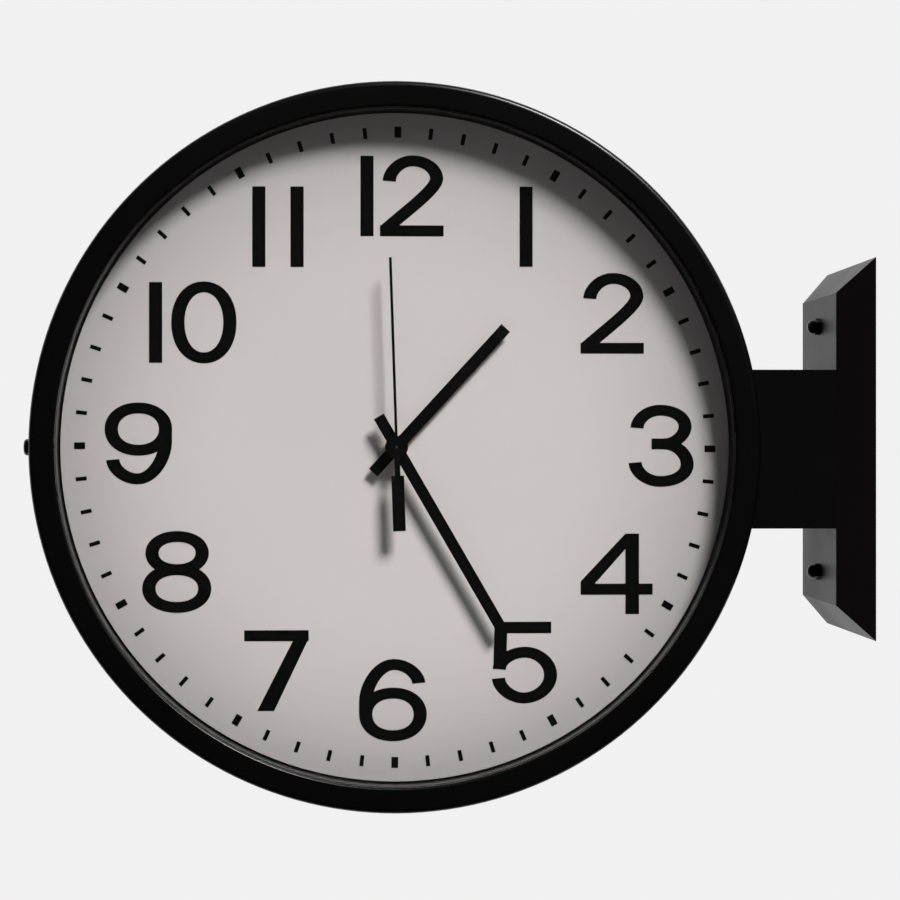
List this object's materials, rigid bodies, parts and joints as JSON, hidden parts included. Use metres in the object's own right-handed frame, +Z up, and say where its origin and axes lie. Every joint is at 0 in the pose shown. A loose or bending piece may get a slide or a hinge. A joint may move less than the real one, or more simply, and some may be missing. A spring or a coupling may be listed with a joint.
{
  "type": "double sided wall bracket clock",
  "caption": "Round clock with two back to back dials in black rims, held off the wall by a square box arm on a bevelled rectangular canopy.",
  "frame": {"origin": "centre of the wall face, midway between the mounting bar's two wall screws", "axes": "+X into the wall, -Y towards the viewer of the front dial, +Z up"},
  "size_m": [0.3977, 0.1158, 0.342],
  "materials": {
    "rim_black": "satin",
    "lens_clear": "polished",
    "dial_white": "matte white paint",
    "case_black": "satin",
    "wall_grey": "satin",
    "canopy_black": "satin",
    "hand_black": "matte black paint",
    "movement_plastic": "matte",
    "train_plastic": "matte",
    "knob_plastic": "matte",
    "brass_plain": "plain",
    "steel_bright": "bright",
    "contact_steel": "nickel plated",
    "steel_zinc": "zinc plated",
    "screw_black": "satin",
    "battery_sleeve": "gloss"
  },
  "bodies": {
    "clock_body": {"front_bezel": "rim_black", "front_lens": "lens_clear", "front_dial": "dial_white", "front_dial_brackets": "case_black", "front_bezel_blocks": "case_black", "front_movement_case": "movement_plastic", "front_movement_cover": "movement_plastic", "front_drive_train": "train_plastic", "front_fixing_nut": "brass_plain", "front_battery": "battery_sleeve", "front_battery_contacts": "contact_steel", "rear_bezel": "rim_black", "rear_lens": "lens_clear", "rear_dial": "dial_white", "rear_dial_brackets": "case_black", "rear_bezel_blocks": "case_black", "rear_movement_case": "movement_plastic", "rear_movement_cover": "movement_plastic", "rear_drive_train": "train_plastic", "rear_fixing_nut": "brass_plain", "rear_battery": "battery_sleeve", "rear_battery_contacts": "contact_steel", "case_drum": "wall_grey", "side_arm": "case_black", "saddle_bolts": "steel_zinc", "pan_head_screws": "screw_black", "cap_nuts": "screw_black", "wall_canopy": "canopy_black", "flange_bolts": "steel_zinc", "mounting_bar": "steel_zinc"},
    "front_seconds": {"front_second_hand": "hand_black", "front_second_shaft": "steel_bright"},
    "front_minutes": {"front_minute_hand": "hand_black", "front_minute_pipe": "brass_plain"},
    "front_hours": {"front_hour_hand": "hand_black", "front_hour_pipe": "brass_plain"},
    "front_setting": {"front_setting_knob": "knob_plastic"},
    "rear_seconds": {"rear_second_hand": "hand_black", "rear_second_shaft": "steel_bright"},
    "rear_minutes": {"rear_minute_hand": "hand_black", "rear_minute_pipe": "brass_plain"},
    "rear_hours": {"rear_hour_hand": "hand_black", "rear_hour_pipe": "brass_plain"},
    "rear_setting": {"rear_setting_knob": "knob_plastic"}
  },
  "joints": [
    {"name": "front_seconds_turn", "type": "hinge", "parent": "clock_body", "child": "front_seconds", "pos_m": [-0.2241, -0.0478, 0.0009], "axis": [0, 1, 0], "continuous": true},
    {"name": "front_minutes_turn", "type": "hinge", "parent": "clock_body", "child": "front_minutes", "pos_m": [-0.2241, -0.0447, 0.0009], "axis": [0, 1, 0], "continuous": true},
    {"name": "front_hours_turn", "type": "hinge", "parent": "clock_body", "child": "front_hours", "pos_m": [-0.2241, -0.0416, 0.0009], "axis": [0, 1, 0], "continuous": true},
    {"name": "front_setting_turn", "type": "hinge", "parent": "clock_body", "child": "front_setting", "pos_m": [-0.2241, -0.017, 0.0105], "axis": [0, 1, 0], "continuous": true},
    {"name": "rear_seconds_turn", "type": "hinge", "parent": "clock_body", "child": "rear_seconds", "pos_m": [-0.2241, 0.0478, 0.0009], "axis": [0, -1, 0], "continuous": true},
    {"name": "rear_minutes_turn", "type": "hinge", "parent": "clock_body", "child": "rear_minutes", "pos_m": [-0.2241, 0.0447, 0.0009], "axis": [0, -1, 0], "continuous": true},
    {"name": "rear_hours_turn", "type": "hinge", "parent": "clock_body", "child": "rear_hours", "pos_m": [-0.2241, 0.0416, 0.0009], "axis": [0, -1, 0], "continuous": true},
    {"name": "rear_setting_turn", "type": "hinge", "parent": "clock_body", "child": "rear_setting", "pos_m": [-0.2241, 0.017, 0.0105], "axis": [0, -1, 0], "continuous": true}
  ],
  "couplings": [
    {"joint": "front_minutes_turn", "follows": "front_seconds_turn", "ratio": 0.016667},
    {"joint": "front_hours_turn", "follows": "front_seconds_turn", "ratio": 0.0013889},
    {"joint": "front_setting_turn", "follows": "front_seconds_turn", "ratio": -0.0055556},
    {"joint": "rear_minutes_turn", "follows": "rear_seconds_turn", "ratio": 0.016667},
    {"joint": "rear_hours_turn", "follows": "rear_seconds_turn", "ratio": 0.0013889},
    {"joint": "rear_setting_turn", "follows": "rear_seconds_turn", "ratio": -0.0055556}
  ]
}
